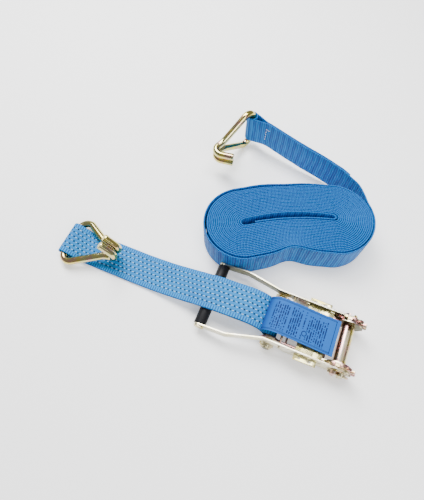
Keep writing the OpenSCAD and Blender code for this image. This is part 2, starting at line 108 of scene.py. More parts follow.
def softbox(name, at, look, size, watts):
    lamp = bpy.data.lights.new(name, "AREA")
    lamp.shape = "RECTANGLE"
    lamp.size, lamp.size_y = size
    lamp.energy = watts
    o = bpy.data.objects.new(name, lamp)
    bpy.context.scene.collection.objects.link(o)
    o.location = at
    o.rotation_euler = (Vector(look) - Vector(at)).to_track_quat("-Z", "Y").to_euler()


def make_light():
    middle = (-0.2, 0.1, 0)
    softbox("key", (-0.95, 0.75, 1.25), middle, (0.8, 0.8), 44)
    softbox("fill", (0.7, -0.7, 1.0), middle, (0.8, 0.8), 15)
    softbox("top", (-0.2, 0.5, 1.5), middle, (1.0, 0.6), 26)
    world = bpy.data.worlds.new("world")
    bpy.context.scene.world = world
    world.use_nodes = True
    sky = world.node_tree.nodes["Background"]
    sky.inputs["Color"].default_value = (0.95, 0.97, 1.0, 1)
    sky.inputs["Strength"].default_value = 0.34


def make_floor():
    bm = bmesh.new()
    bmesh.ops.create_grid(bm, x_segments=1, y_segments=1, size=4)
    bmesh.ops.translate(bm, verts=bm.verts, vec=(0, 0, GROUND * MM - 0.0002))
    floor = finish_mesh(bm, "floor", None)
    paint = plain("floor_paint", (0.93, 0.93, 0.93), roughness=0.8)
    shader = paint.node_tree.nodes["Principled BSDF"]
    shader.inputs["Emission Color"].default_value = (1, 1, 1, 1)
    shader.inputs["Emission Strength"].default_value = 0.45
    floor.data.materials.append(paint)


# ---------- meshes ----------

def finish_mesh(bm, name, body, material=None, slot=None, smooth=None):
    """Turns a bmesh into an object that rides on a body of the part."""
    bmesh.ops.recalc_face_normals(bm, faces=bm.faces)
    mesh = bpy.data.meshes.new(name)
    bm.to_mesh(mesh)
    bm.free()
    o = bpy.data.objects.new(name, mesh)
    bpy.context.scene.collection.objects.link(o)
    if smooth is not None:
        mesh.polygons.foreach_set("use_smooth", [True] * len(mesh.polygons))
        mesh.set_sharp_from_angle(angle=math.radians(smooth))
    if material:
        mesh.materials.append(material)
    if body:
        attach(o, body)
    return o


def unit(v):
    n = math.hypot(*v)
    return [x / n for x in v]


def s_curve(t):
    """0 to 1 with a soft start and a soft end."""
    t = min(1.0, max(0.0, t))
    return t * t * (3 - 2 * t)


def ease(a, b, x):
    """0 where x is at a, 1 where it is at b, smooth between."""
    return s_curve((x - a) / (b - a))


def curve(points, n):
    """Smooth curve through a list of points, n steps to each stretch."""
    def at(i):
        return points[max(0, min(len(points) - 1, i))]
    out = []
    for i in range(len(points) - 1):
        a, b, c, d = at(i - 1), at(i), at(i + 1), at(i + 2)
        for k in range(n):
            t = k / n
            out.append(tuple(0.5 * (2 * q + (r - p) * t + (2 * p - 5 * q + 4 * r - s) * t * t
                                    + (3 * q - p - 3 * r + s) * t ** 3)
                             for p, q, r, s in zip(a, b, c, d)))
    out.append(tuple(points[-1]))
    return out


def resample(points, step):
    """The same line as points an even step apart."""
    out, left = [Vector(points[0])], step
    for a, b in zip(points, points[1:]):
        a, b = Vector(a), Vector(b)
        d = (b - a).length
        while d > left:
            a = a + (b - a) * (left / d)
            out.append(a.copy())
            d = (b - a).length
            left = step
        left -= d
    if (out[-1] - Vector(points[-1])).length > step * 0.3:
        out.append(Vector(points[-1]))
    return out


def smoothed(points, times):
    """Rounds the corners off a line, with its ends kept."""
    for _ in range(times):
        inner = [(a + b * 2 + c) / 4 for a, b, c in zip(points, points[1:], points[2:])]
        points = [points[0]] + inner + [points[-1]]
    return points


def left_of(points, i):
    """Unit direction to the left of a line at one of its points."""
    a, b = points[max(0, i - 1)], points[min(len(points) - 1, i + 1)]
    v = unit((b[0] - a[0], b[1] - a[1]))
    return -v[1], v[0]


def ring_of_web(width, thick):
    """Rounded cross-section of webbing: across, through."""
    h, w = thick / 2, width / 2
    one = [(-w + 0.1 * thick, 0.55 * h), (-w + 0.35 * thick, 0.86 * h), (-w + 0.8 * thick, h),
           (-w * 0.45, h), (0, h), (w * 0.45, h),
           (w - 0.8 * thick, h), (w - 0.35 * thick, 0.86 * h), (w - 0.1 * thick, 0.55 * h)]
    return one + [(w, 0)] + [(a, -t) for a, t in reversed(one)] + [(-w, 0)]


def web_strip(name, line, across, width=WEB_W, thick=WEB_T, shift=None, **kept):
    """Closed strip of webbing: line is a row of (place, normal) in mm, across the direction of its width.
    Its own coordinates hold the length along it and the place across it, in metres. shift moves a point,
    given its row, its length along and its place across."""
    ring = ring_of_web(width, thick)
    bm = bmesh.new()
    uv = bm.loops.layers.uv.new("web")
    rows, s, last = [], 0.0, None
    along = []
    for i, (p, nrm) in enumerate(line):
        p, nrm = Vector(p), Vector(nrm)
        s += (p - last).length if last is not None else 0
        last = p
        along.append(s)
        rows.append([])
        for a, t in ring:
            q = p + Vector(across) * a + nrm * t
            if shift:
                q = shift(q, i, s, a)
            rows[-1].append(bm.verts.new(q * MM))
    m = len(ring)
    for i in range(len(rows) - 1):
        for k in range(m):
            f = bm.faces.new((rows[i][k], rows[i][(k + 1) % m], rows[i + 1][(k + 1) % m], rows[i + 1][k]))
            for loop, (ii, kk) in zip(f.loops, ((i, k), (i, (k + 1) % m), (i + 1, (k + 1) % m), (i + 1, k))):
                loop[uv].uv = (along[ii] * MM, ring[kk][0] * MM)
    for row, i in ((rows[0], 0), (rows[-1], len(rows) - 1)):
        f = bm.faces.new(row)
        for loop, k in zip(f.loops, range(m)):
            loop[uv].uv = (along[i] * MM, ring[k][0] * MM)
    o = finish_mesh(bm, name, kept.pop("body"), smooth=50, **kept)
    o["length"] = s * MM
    return o


def arc(centre, r, a0, a1):
    n = max(3, int(abs(a1 - a0) / ARC_STEP))
    turns = [math.radians(a0 + (a1 - a0) * i / n) for i in range(n + 1)]
    return [(centre[0] + r * math.cos(a), centre[1] + r * math.sin(a)) for a in turns]


def touch_angle(p, centre, r, side):
    """Angle, seen from a circle's centre, of the point where a line from p touches it."""
    v = (p[0] - centre[0], p[1] - centre[1])
    return math.degrees(math.atan2(v[1], v[0])) + side * math.degrees(math.acos(r / math.hypot(*v)))


# ---------- short end ----------

def short_middle():
    """Middle line of the doubled webbing, seen from the side, from the hook to the tail."""
    def dive(f, rise):
        return GRIP_X + f * (BOLT[0] - 12 - GRIP_X), OVER_GRIP + rise
    x = HOOK_BAR[0]
    route = [(x + LOOP_LEN, FLAT_Z), (x + LOOP_LEN + 40, FLAT_Z), (-300, FLAT_Z), (-262, FLAT_Z + 4),
             (-225, OVER_GRIP - 10.5)]
    route += [dive(0, 0), dive(0.37, 4.5), dive(0.67, 7), dive(0.88, 3.5), dive(1, -4.5)]
    return [(px, max(pz, FLAT_Z)) for px, pz in curve(route, 8)]


def short_line():
    """One run of webbing: under ply, round the hook's bar, upper ply, round the tail sleeve."""
    mid = short_middle()
    h = WEB_T / 2 + PLY_GAP
    under, over = [], []
    for i, p in enumerate(mid):
        n = left_of(mid, i)
        under.append((p[0] - h * n[0], p[1] - h * n[1]))
        over.append((p[0] + h * n[0], p[1] + h * n[1]))
    u0 = touch_angle(under[0], HOOK_BAR, LOOP_R, -1)
    o0 = touch_angle(over[0], HOOK_BAR, LOOP_R, 1)
    while u0 > -80:
        u0 -= 360
    ring = arc(HOOK_BAR, LOOP_R, u0 + 360 if u0 + 360 > o0 else u0, o0)
    t_over = touch_angle(over[-1], BOLT, TAIL_R, -1)
    t_under = touch_angle(under[-1], BOLT, TAIL_R, 1)
    tail = arc(BOLT, TAIL_R, t_over, t_over - 175)
    tail_in = arc(BOLT, TAIL_R, t_under + 175, t_under)
    return tail_in + under[::-1] + ring + over + tail


def strip_line(path, step, times=2):
    """Rows for web_strip from a path seen from the side."""
    pts = smoothed(resample([(x, 0, z) for x, z in path], step), times)
    out = []
    for i, p in enumerate(pts):
        a, b = pts[max(0, i - 1)], pts[min(len(pts) - 1, i + 1)]
        d = (b - a).normalized()
        out.append((p, Vector((-d.z, 0, d.x))))
    return out


def capsule(bm, at, along, up, length, width, height):
    """Small sewn thread: a flattened capsule that lies along a direction."""
    side = up.cross(along)
    made = bmesh.ops.create_uvsphere(bm, u_segments=6, v_segments=4, radius=1)["verts"]
    axes = Matrix((along * length / 2, side * width / 2, up * height / 2)).transposed()
    for v in made:
        c = v.co
        q = Vector((c.z, c.x, c.y))
        v.co = at + axes @ q


def make_short_strap(web):
    line = strip_line(short_line(), 2.0)
    rnd = random.Random(4)

    def sway(q, i, s, a):
        return q + Vector((0, 0.35 * noise.noise(Vector((s / 30, 2, 0))), 0))
    strap = web_strip("short_webbing", line, (0, 1, 0), body="short_strap", material=web, slot="webbing",
                      shift=sway)
    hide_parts("short_strap")
    bm = bmesh.new()
    s, last = 0, None
    stations = []
    for p, nrm in line:
        s += (p - last).length if last is not None else 0
        last = p
        stations.append((s, p, nrm))

    def where(d):
        """Place, normal and direction of the webbing at a length along it."""
        for (s0, p0, n0), (s1, p1, n1) in zip(stations, stations[1:]):
            if s0 <= d <= s1:
                f = (d - s0) / max(s1 - s0, 1e-6)
                return p0.lerp(p1, f), n0.lerp(n1, f).normalized(), (p1 - p0).normalized()
        return None
    for row in range(STITCH_ROWS):
        y = (row - (STITCH_ROWS - 1) / 2) * ROW_APART
        d = STITCH_FROM + (0.5 if row % 2 else 0) * STITCH_APART
        while d < s - 8:
            at = where(d + STITCH_APART / 2)
            if at and at[0].x < BOLT[0] - 14:
                p, up, along = at
                turn = rnd.uniform(-0.2, 0.2) + 0.12
                lie = (along * math.cos(turn) + Vector((0, 1, 0)) * math.sin(turn)).normalized()
                place = p + Vector((0, y + rnd.uniform(-0.4, 0.4), 0)) + up * (WEB_T / 2)
                capsule(bm, place * MM, lie, up, rnd.uniform(2.6, 3.9) * MM, 0.62 * MM, 0.5 * MM)
            d += STITCH_APART
    thread = finish_mesh(bm, "short_stitches", "short_strap", smooth=60,
                         material=plain("thread", (0.66, 0.80, 0.86), roughness=0.6), slot="webbing")


def make_label():
    end, reach = -13.0, 91.0
    route = [(-109.5, 3.0), (-106.6, 9.0)]
    route += [(end - share * reach, z) for share, z in
              ((0.96, 15.5), (0.88, 18.6), (0.76, 18.8), (0.5, 16.6), (0.23, 14), (0, 12))]

    def ripple(q, i, s, a):
        return q + Vector((0, 0, 0.7 * noise.noise(Vector((s / 28, a / 24, 1)))))
    line = strip_line(curve(route, 8), 1.5, 1)
    label = web_strip("cloth_label", line, (0, 1, 0), width=49.6, thick=0.9, body=None,
                      material=label_cloth(), slot="label_cloth", shift=ripple)
    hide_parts("label")
    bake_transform(label)


# ---------- long end ----------

def roll_place(x, y):
    """Plan of the set from a place in the roll's own plan."""
    c, s = math.cos(math.radians(ROLL_TURN)), math.sin(math.radians(ROLL_TURN))
    return ROLL_AT[0] + x * c - y * s, ROLL_AT[1] + x * s + y * c


def roll_outline(phase, d):
    """Point on the roll's outline at distance d from its slot; phase counts turns."""
    f = (phase % 1.0) * 4
    part, t = int(f), f - int(f)
    if part in (0, 2):
        side = -1 if part == 0 else 1
        x = ROLL_A * (2 * t - 1) * -side
        # A long side sinks in at its middle, more so further out; the slot's far side opens like a lens
        bow = 1 - (x / ROLL_A) ** 2
        share = 0.15 if side < 0 else 0.04
        dent = share * math.exp(-(x / (38 - 16 * d / ROLL_D)) ** 2) * d / ROLL_D
        lens = 2.4 * bow * math.exp(-d / 22) if side > 0 else 0
        return x, ROLL_ARCH * bow + side * d * (1 - dent) + lens
    a = math.radians(180 * t)
    if part == 1:
        return ROLL_A + d * math.sin(a), -d * math.cos(a)
    return -ROLL_A - d * math.sin(a), d * math.cos(a)


def turn_place(q):
    """Distance of the webbing from the slot after q turns: a loose end, tight turns, a loose last turn."""
    d = FIRST_TURN + (q - 0.6) * TURN_PITCH
    d += (INNER_LIP - d) * ease(0.62, 0.22, q)
    return d + (LAST_TURN - d) * ease(19.42, 19.72, q)


def long_line():
    """Plan of the long end: up through the roll, out along the lead, round the hook's bar and back."""
    spiral = []
    steps = int((TURN_TO - TURN_FROM) * STEPS_A_TURN)
    for i in range(steps):
        q = TURN_FROM + (TURN_TO - TURN_FROM) * i / steps
        spiral.append(roll_place(*roll_outline(q, turn_place(q))))
    a = math.radians(20)
    size = ROLL_A + ROLL_D
    route = [roll_place(ROLL_A + LAST_TURN * math.cos(a), LAST_TURN * math.sin(a))]
    route += [(ROLL_AT[0] + size * x, ROLL_AT[1] + size * y) for x, y in LEAD_SHAPE]
    v = unit((route[-1][0] - EYE[0], route[-1][1] - EYE[1]))
    route.append((EYE[0] + EYE_LEN * v[0], EYE[1] + EYE_LEN * v[1]))
    lead = curve(route, 12)
    n = len(lead) - 1
    h = WEB_T / 2 + PLY_GAP
    out, back = [], []
    for i, p in enumerate(lead):
        t = i / n
        w = s_curve((t - PLY_FROM) / PLY_OVER)
        nl = left_of(lead, i)
        out.append((p[0] + w * h * nl[0], p[1] + w * h * nl[1]))
        if t > FOLD_FROM:
            back.append((p[0] - h * nl[0], p[1] - h * nl[1]))
    a_out = touch_angle(out[-1], EYE, LOOP_R, -1)
    a_back = touch_angle(back[-1], EYE, LOOP_R, 1)
    if a_out > a_back:
        a_out -= 360
    if a_out - a_back > -180:
        a_out -= 360
    ring = arc(EYE, LOOP_R, a_out, a_back)
    return spiral, out, ring, back[::-1]


def make_long_strap(web):
    spiral, out, ring, back = long_line()
    path = spiral + out + ring + back
    pts = smoothed(resample([(x, y, 0) for x, y in path], LONG_STEP), 2)
    n_roll = len(resample([(x, y, 0) for x, y in spiral], LONG_STEP))
    bar = Vector((EYE[0], EYE[1], 0))
    round_bar = [i for i in range(n_roll, len(pts)) if (pts[i] - bar).length < LOOP_R + 0.4]
    ring_mid = (round_bar[0] + round_bar[-1]) // 2
    lead_len = max(1, ring_mid - n_roll)
    line, rise = [], []
    for i, p in enumerate(pts):
        a, b = pts[max(0, i - 1)], pts[min(len(pts) - 1, i + 1)]
        d = (b - a).normalized()
        line.append((p, Vector((-d.y, d.x, 0))))
        if i <= n_roll:
            rise.append(0.0)
            continue
        t = (i - n_roll) / lead_len if i <= ring_mid else 1 - (i - ring_mid) / lead_len
        t = min(1.0, max(0.0, t) * 1.15)
        rise.append(EYE_RISE * t * t * (3 - 2 * t))

    def stand(q, i, s, a):
        """Stands the webbing on its edge, lifts the lead to the eye and lets the upper edge wander."""
        wave = 0.55 * noise.noise(Vector((s / 60, 0, 5))) + 0.35 * noise.noise(Vector((s / 14, 3, 5)))
        wobble = 0.10 * noise.noise(Vector((s / 21, a / 16, 9)))
        f = (a / WEB_W + 0.5) * (1 - ease(0.55, 0.95, rise[i] / EYE_RISE))
        z = GROUND + WEB_W / 2 + rise[i]
        return q + Vector((0, 0, z + max(wave, -0.9) * f + 0.25 * f)) + line[i][1] * wobble
    strap = web_strip("long_webbing", line, (0, 0, 1), thick=2.3, body="long_strap", material=web,
                      slot="webbing", shift=stand)
    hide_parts("roll_front", "roll_back", "roll_end_near_spool", "roll_end_near_grip",
                "long_strap_lead", "long_strap_eye")
    bm = bmesh.new()
    rnd = random.Random(7)
    # Tack stitches: distance from the eye as a share of the lead, height as a share, standing or lying
    row = [(0.05, 0.30 + 0.11 * k, 1) for k in range(5)] + [(0.085, 0.74, 0), (0.13, 0.73, 0)]
    for from_eye, share, stands in row:
        i = int(len(out) * (1 - from_eye))
        n = left_of(out, i)
        along = Vector((n[1], -n[0], 0))
        lie = Vector((0, 0, 1)) if stands else along
        lie = (lie + (along if stands else Vector((0, 0, 1))) * rnd.uniform(-0.15, 0.15)).normalized()
        x, y = out[i][0] + n[0] * 1.2, out[i][1] + n[1] * 1.2
        at = Vector((x, y, GROUND + EYE_RISE * 0.97 + WEB_W * share))
        capsule(bm, at * MM, lie, Vector((n[0], n[1], 0)), 4.2 * MM, 1.0 * MM, 0.6 * MM)
    tacks = finish_mesh(bm, "long_tacks", "long_strap", smooth=60, slot="webbing",
                        material=plain("tack_thread", (0.80, 0.84, 0.84), roughness=0.6))


# ---------- hooks and springs ----------

def tube(bm, points, r, sides=20, taper=0.0):
    """Round wire along a row of points; its rings turn as little as they can."""
    pts = [Vector(p) for p in points]
    t0 = (pts[1] - pts[0]).normalized()
    u = t0.orthogonal().normalized()
    rings = []
    for i, p in enumerate(pts):
        t = (pts[min(i + 1, len(pts) - 1)] - pts[max(i - 1, 0)]).normalized()
        u = (u - t * u.dot(t)).normalized()
        w = t.cross(u)
        turns = [2 * math.pi * k / sides for k in range(sides)]
        rings.append([bm.verts.new(p + (u * math.cos(a) + w * math.sin(a)) * r) for a in turns])
    for a, b in zip(rings, rings[1:]):
        for k in range(sides):
            bm.faces.new((a[k], a[(k + 1) % sides], b[(k + 1) % sides], b[k]))
    for ring, inner in ((rings[0], pts[0] - (pts[1] - pts[0]).normalized() * taper),
                        (rings[-1], pts[-1] + (pts[-1] - pts[-2]).normalized() * taper)):
        if taper:
            middle = sum((v.co for v in ring), Vector()) / sides
            small = [bm.verts.new(inner + (v.co - middle) * (1 - taper / r)) for v in ring]
            for k in range(sides):
                bm.faces.new((ring[k], ring[(k + 1) % sides], small[(k + 1) % sides], small[k]))
            ring = small
        bm.faces.new(ring)


def hook_path():
    """Middle line of the hook's wire in its own frame, from one prong's tip to the other's, in mm."""
    leg_in, corner, leg_r, jaw_r, turn, prong, py = 29.0, 13.0, 30.0, 11.0, 125.0, 20.0, 6.5
    bar = WEB_W / 2 - 4.4
    s, c = math.sin(math.radians(leg_in)), math.cos(math.radians(leg_in))
    length = leg_r * s + corner * (1 + s) + (bar - py - leg_r * (1 - c) + corner * c) / (s / c)
    half = [(0, 0, 0), (0, bar * 0.5, 0)]
    for i in range(15):
        h = math.radians(90 - (90 + leg_in) * i / 14)
        half.append((corner * (1 - math.sin(h)), bar + corner * math.cos(h), 0))
    x1, y1 = half[-1][:2]
    x2, y2 = length - leg_r * s, py + leg_r * (1 - c)
    half += [(x1 + (x2 - x1) * f, y1 + (y2 - y1) * f, 0) for f in (0.2, 0.4, 0.6, 0.8)]
    for i in range(6):
        h = math.radians(-leg_in * (1 - i / 5))
        half.append((length + leg_r * math.sin(h), py + leg_r * (1 - math.cos(h)), 0))
    for i in range(1, 17):
        h = math.radians(turn * i / 16)
        half.append((length + jaw_r * math.sin(h), py, jaw_r * (1 - math.cos(h))))
    x, _, z = half[-1]
    dx, dz = math.cos(math.radians(turn)), math.sin(math.radians(turn))
    half += [(x + dx * prong * f, py, z + dz * prong * f) for f in (0.3, 0.65, 0.96)]
    return [(x, -y, z) for x, y, z in reversed(half[1:])] + half


def make_hook(name, body, place, metal):
    bm = bmesh.new()
    tube(bm, [Vector(p) * MM for p in hook_path()], WIRE_R * MM, 28, taper=0.9 * MM)
    bmesh.ops.transform(bm, matrix=place, verts=bm.verts)
    o = finish_mesh(bm, name, body, material=metal, slot="hook_wire", smooth=40)
    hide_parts(body)


def make_hooks(metal):
    tilt = (Matrix.Translation(Vector((HOOK_BAR[0], 0, HOOK_BAR[1])) * MM)
            @ Matrix.Rotation(math.radians(-HOOK_TILT), 4, "Y"))
    make_hook("hook_wire_short", "hook_short", tilt, metal)
    turn = (Matrix.Translation(Vector((EYE[0], EYE[1], GROUND + EYE_RISE + WEB_W / 2)) * MM)
            @ Matrix.Rotation(math.radians(EYE_HEADING), 4, "Z") @ Matrix.Rotation(math.radians(-90), 4, "X"))
    make_hook("hook_wire_long", "hook_long", turn, metal)


def make_spring(name, node, x0, x1, z, metal):
    """Open coils, spaced a little wider at its ends than in its middle; it stretches between its seat and its
    pawl.
    """
    turns, r, wire = 8.0, 3.9, 0.6
    pts = []
    n = int(turns * 16)
    for i in range(n + 1):
        f = i / n
        g = f + 0.045 * math.sin(2 * math.pi * f)
        a = 2 * math.pi * turns * f
        pts.append(Vector((x0 + wire + (x1 - x0 - 2 * wire) * g, r * math.cos(a), z + r * math.sin(a))) * MM)
    bm = bmesh.new()
    tube(bm, pts, wire * MM, 8)
    o = finish_mesh(bm, name, None, material=metal, slot="spring_steel", smooth=50)
    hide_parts(node)
    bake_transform(o)


# ---------- metal pieces with broken edges ----------

def soften(node, body, material, slot, width):
    """Stands for a CAD node: the same shape with its sharp edges broken, so that they catch light.
    Faces that look across the middle of the ratchet are darkened with painted shade, held in an attribute of
    their own."""
    bm = bmesh.new()
    bm.from_mesh(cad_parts[node].data)
    bmesh.ops.remove_doubles(bm, verts=bm.verts, dist=1e-5)
    bmesh.ops.dissolve_limit(bm, angle_limit=math.radians(1.0), verts=bm.verts, edges=bm.edges,
                             delimit={"NORMAL"})
    sharp = math.radians(28)
    edges = [e for e in bm.edges if len(e.link_faces) == 2 and e.calc_face_angle() > sharp]
    bmesh.ops.bevel(bm, geom=edges, offset=width * MM, offset_type="OFFSET", segments=2, profile=0.6,
                    affect="EDGES", clamp_overlap=True)
    o = finish_mesh(bm, node + "_finish", body, material=material, slot=slot, smooth=32)
    # Painted shade: each face that looks towards the ratchet's middle gets a share of darkening here; parts
    # that span both sides get none.
    shade_layer = o.data.attributes.new("inside", "FLOAT", "FACE")
    out = 1 if o.data.polygons[0].center.y > 0 else -1
    shared = abs(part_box(node)[0].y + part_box(node)[1].y) < 0.005
    facing = [0.0 if shared else max(0.0, -f.normal.y * out) for f in o.data.polygons]
    shade_layer.data.foreach_set("value", facing)
    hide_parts(node)


# ---------- materials ----------

class Shade:
    """A value inside a material; arithmetic on it adds the maths nodes."""

    def __init__(self, tree, socket):
        self.tree, self.socket = tree, socket

    def node(self, kind, out=0, props=None, **inputs):
        """Adds one node of another kind, its inputs given by their names with spaces as underscores."""
        n = self.tree.nodes.new(kind)
        for k, v in (props or {}).items():
            setattr(n, k, v)
        for k, v in inputs.items():
            key = int(k[1:]) if k[0] == "i" and k[1:].isdigit() else k.replace("_", " ")
            if isinstance(v, Shade):
                self.tree.links.new(v.socket, n.inputs[key])
            else:
                n.inputs[key].default_value = v
        return Shade(self.tree, n.outputs[out])

    def maths(self, operation, *others):
        n = self.tree.nodes.new("ShaderNodeMath")
        n.operation = operation
        for i, v in enumerate((self,) + others):
            if isinstance(v, Shade):
                self.tree.links.new(v.socket, n.inputs[i])
            else:
                n.inputs[i].default_value = v
        return Shade(self.tree, n.outputs[0])

    def __add__(self, o):
        return self.maths("ADD", o)

    def __sub__(self, o):
        return self.maths("SUBTRACT", o)

    def __mul__(self, o):
        return self.maths("MULTIPLY", o)

    def __truediv__(self, o):
        return self.maths("DIVIDE", o)

    def __pow__(self, o):
        return self.maths("POWER", o)

    def __mod__(self, o):
        return self.maths("FLOORED_MODULO", o)

    def __neg__(self):
        return self.maths("MULTIPLY", -1)

    def __abs__(self):
        return self.maths("ABSOLUTE")

    def __gt__(self, o):
        return self.maths("GREATER_THAN", o)

    def __lt__(self, o):
        return self.maths("LESS_THAN", o)

    __radd__, __rmul__ = __add__, __mul__

    def __rsub__(self, o):
        return -self + o

    def sin(self):
        return self.maths("SINE")

    def floor(self):
        return self.maths("FLOOR")

    def fract(self):
        return self.maths("FRACT")

    def high(self, o):
        return self.maths("MAXIMUM", o)

    def low(self, o):
        return self.maths("MINIMUM", o)

    def step(self, a, b):
        """0 below a, 1 above b, smooth between."""
        return self.node("ShaderNodeMapRange", props={"interpolation_type": "SMOOTHSTEP"},
                         Value=self, From_Min=a, From_Max=b)

    def blend(self, a, b):
        """Colour a where this is 0, b where it is 1."""
        n = self.tree.nodes.new("ShaderNodeMix")
        n.data_type = "RGBA"
        self.tree.links.new(self.socket, n.inputs[0])
        for i, c in ((6, a), (7, b)):
            if isinstance(c, Shade):
                self.tree.links.new(c.socket, n.inputs[i])
            else:
                n.inputs[i].default_value = (*c, 1)
        return Shade(self.tree, n.outputs[2])


def material(name, **uniform):
    """A new material: its start for shader values, its main shader's inputs, uniform values already set."""
    m = bpy.data.materials.new(name)
    m.use_nodes = True
    shader = m.node_tree.nodes["Principled BSDF"]
    for k, v in uniform.items():
        shader.inputs[k.replace("_", " ")].default_value = v
    return m, Shade(m.node_tree, None), shader


def feed(m, shader, **values):
    """Links shader values to the main shader's inputs."""
    for k, v in values.items():
        m.node_tree.links.new(v.socket, shader.inputs[k.replace("_", " ")])


def plain(name, color, roughness=0.5):
    m, _, shader = material(name, Roughness=roughness)
    shader.inputs["Base Color"].default_value = (*color, 1)
    return m


def own_place(s):
    """The piece's own coordinates."""
    return s.node("ShaderNodeTexCoord", out=3)


def webbing(name, sewn):
    """Woven polyester: ribs across it, yarns along it, and needle holes in rows where it is sewn."""
    m, s, shader = material(name, Specular_IOR_Level=0.22)
    uv = s.node("ShaderNodeUVMap", props={"uv_map": "web"})
    u = s.node("ShaderNodeSeparateXYZ", out=0, Vector=uv)
    v = s.node("ShaderNodeSeparateXYZ", out=1, Vector=uv)
    wide = s.node("ShaderNodeTexNoise", Vector=uv, Scale=28.0, Detail=2.0)
    fine = s.node("ShaderNodeTexNoise", Vector=uv, Scale=1400.0, Detail=2.0)
    flow = u + (wide - 0.5) * 0.0012
    rib_pitch, yarn_pitch = 0.0036, 0.0021
    rib = (flow * (2 * math.pi / rib_pitch)).sin() * 0.5 + 0.5
    half_rib = (flow * (4 * math.pi / rib_pitch) + v * 2200).sin() * 0.5 + 0.5
    yarn = (v * (2 * math.pi / yarn_pitch)).sin() * 0.5 + 0.5
    edge = abs(v).step(0.0180, 0.0192)
    lip = abs(v).step(0.0240, 0.0247)
    if sewn:
        weave = rib * edge + (half_rib * 0.5 + yarn * 0.3 + 0.1) * (1 - edge)
    else:
        broad = (flow * (2 * math.pi / (3 * rib_pitch)) + wide * 9).sin() * 0.5 + 0.5
        weave = rib * 0.56 + broad * 0.32 + yarn * 0.08 + half_rib * 0.04
    tone = weave * 0.7 + fine * 0.25 + wide * 0.3 - 0.10
    color = tone.step(0.05, 0.95).blend(*(((0.002, 0.055, 0.26), (0.008, 0.27, 0.62)) if sewn else
                                          ((0.001, 0.022, 0.17), (0.006, 0.20, 0.56))))
    speck = (flow * (2 * math.pi / yarn_pitch)).sin() * 0.5 + fine
    color = lip.blend(color, speck.step(0.2, 0.95).blend((0.001, 0.030, 0.18), (0.006, 0.19, 0.52)))
    height = weave * 0.8 + fine * 0.25
    if sewn:
        apart, along = ROW_APART * MM, STITCH_APART * MM
        cell = (v + STITCH_ROWS / 2 * apart) / apart
        row = cell.floor()
        fu = ((u - STITCH_FROM * MM) / along + (row % 2) * 0.5 + 0.5).fract() - 0.5
        fv = cell.fract() - 0.5
        # Distance from the needle hole in millimetres
        dist = (fu * fu * 49 + fv * fv * 41) ** 0.5
        zone = 1 - abs(v).step(0.0190, 0.0194)
        hole = (1 - dist.step(0.85, 1.5)) * zone
        # The needle holes are real; their near-black colour is painted shade in the pits.
        color = hole.blend(color, (0.0004, 0.0015, 0.010))
        dip = (1 - dist.step(0.4, 2.6)) * zone
        height = height - dip * 1.2
    bump = s.node("ShaderNodeBump", Strength=0.75, Distance=0.0007, Height=height)
    feed(m, shader, Base_Color=color, Roughness=0.5 + fine * 0.3, Normal=bump)
    return m


def label_cloth():
    """Cloth label with rows of meaningless marks, a border, and painted shade at its root by the strap's
    crease.
    """
    m, s, shader = material("label_print", Specular_IOR_Level=0.2)
    uv = s.node("ShaderNodeUVMap", props={"uv_map": "web"})
    u = s.node("ShaderNodeSeparateXYZ", out=0, Vector=uv)
    v = s.node("ShaderNodeSeparateXYZ", out=1, Vector=uv)
    fine = s.node("ShaderNodeTexNoise", Vector=uv, Scale=900.0, Detail=2.0)
    weave = (u * 7000).sin() * (v * 7000).sin()
    line_pitch, bit_pitch = 0.0030, 0.0011
    line_no, bit_no = (u / line_pitch).floor(), (v / bit_pitch).floor()
    chance = s.node("ShaderNodeTexWhiteNoise", props={"noise_dimensions": "2D"},
                    Vector=s.node("ShaderNodeCombineXYZ", X=line_no, Y=bit_no))
    bold = s.node("ShaderNodeTexWhiteNoise", props={"noise_dimensions": "1D"}, W=line_no)
    reach = 0.013 + bold * 0.006
    in_line = 1 - abs((u / line_pitch).fract() - 0.5).step(0.22, 0.30)
    marks = (chance > 0.30) * in_line * (1 - abs(v).step(0.0195, 0.0200)) * (v < reach) * (bold > 0.18)
    marks = marks * u.step(0.0130, 0.0134) * (1 - u.step(0.0890, 0.0894))
    far = abs(u - 0.0620) / 0.0035
    disc = (far * far + (v + 0.011) * (v + 0.011) / 0.0000122) ** 0.5
    clear = 1 - disc.step(1.35, 1.4)
    ring = 1 - abs(disc - 0.9).step(0.12, 0.2)
    marks = marks * (1 - clear) + ring
    inset = abs(abs(v) - 0.0218) - 0.0006
    border = (1 - abs(inset).step(0.00015, 0.00035)) * (1 - u.step(0.0995, 0.0999))
    cross = (1 - abs(u - 0.0990).step(0.00025, 0.0005)) * (1 - abs(v).step(0.0222, 0.0224))
    ink = marks.high(border).high(cross).low(1.0)
    color = (fine * 0.7 + weave * 0.15 + 0.1).blend((0.004, 0.070, 0.32), (0.009, 0.135, 0.46))
    # Painted shade: the label's first few millimetres, where it comes out of the strap's crease, are darkened
    # towards navy.
    color = ((1 - u.step(0.002, 0.014)) * 0.7).blend(color, (0.004, 0.02, 0.16))
    color = ink.blend(color, (0.001, 0.006, 0.055))
    bump = s.node("ShaderNodeBump", Strength=0.35, Distance=0.0003, Height=weave * 0.5 + fine)
    feed(m, shader, Base_Color=color, Roughness=0.55 + fine * 0.25, Normal=bump)
    return m


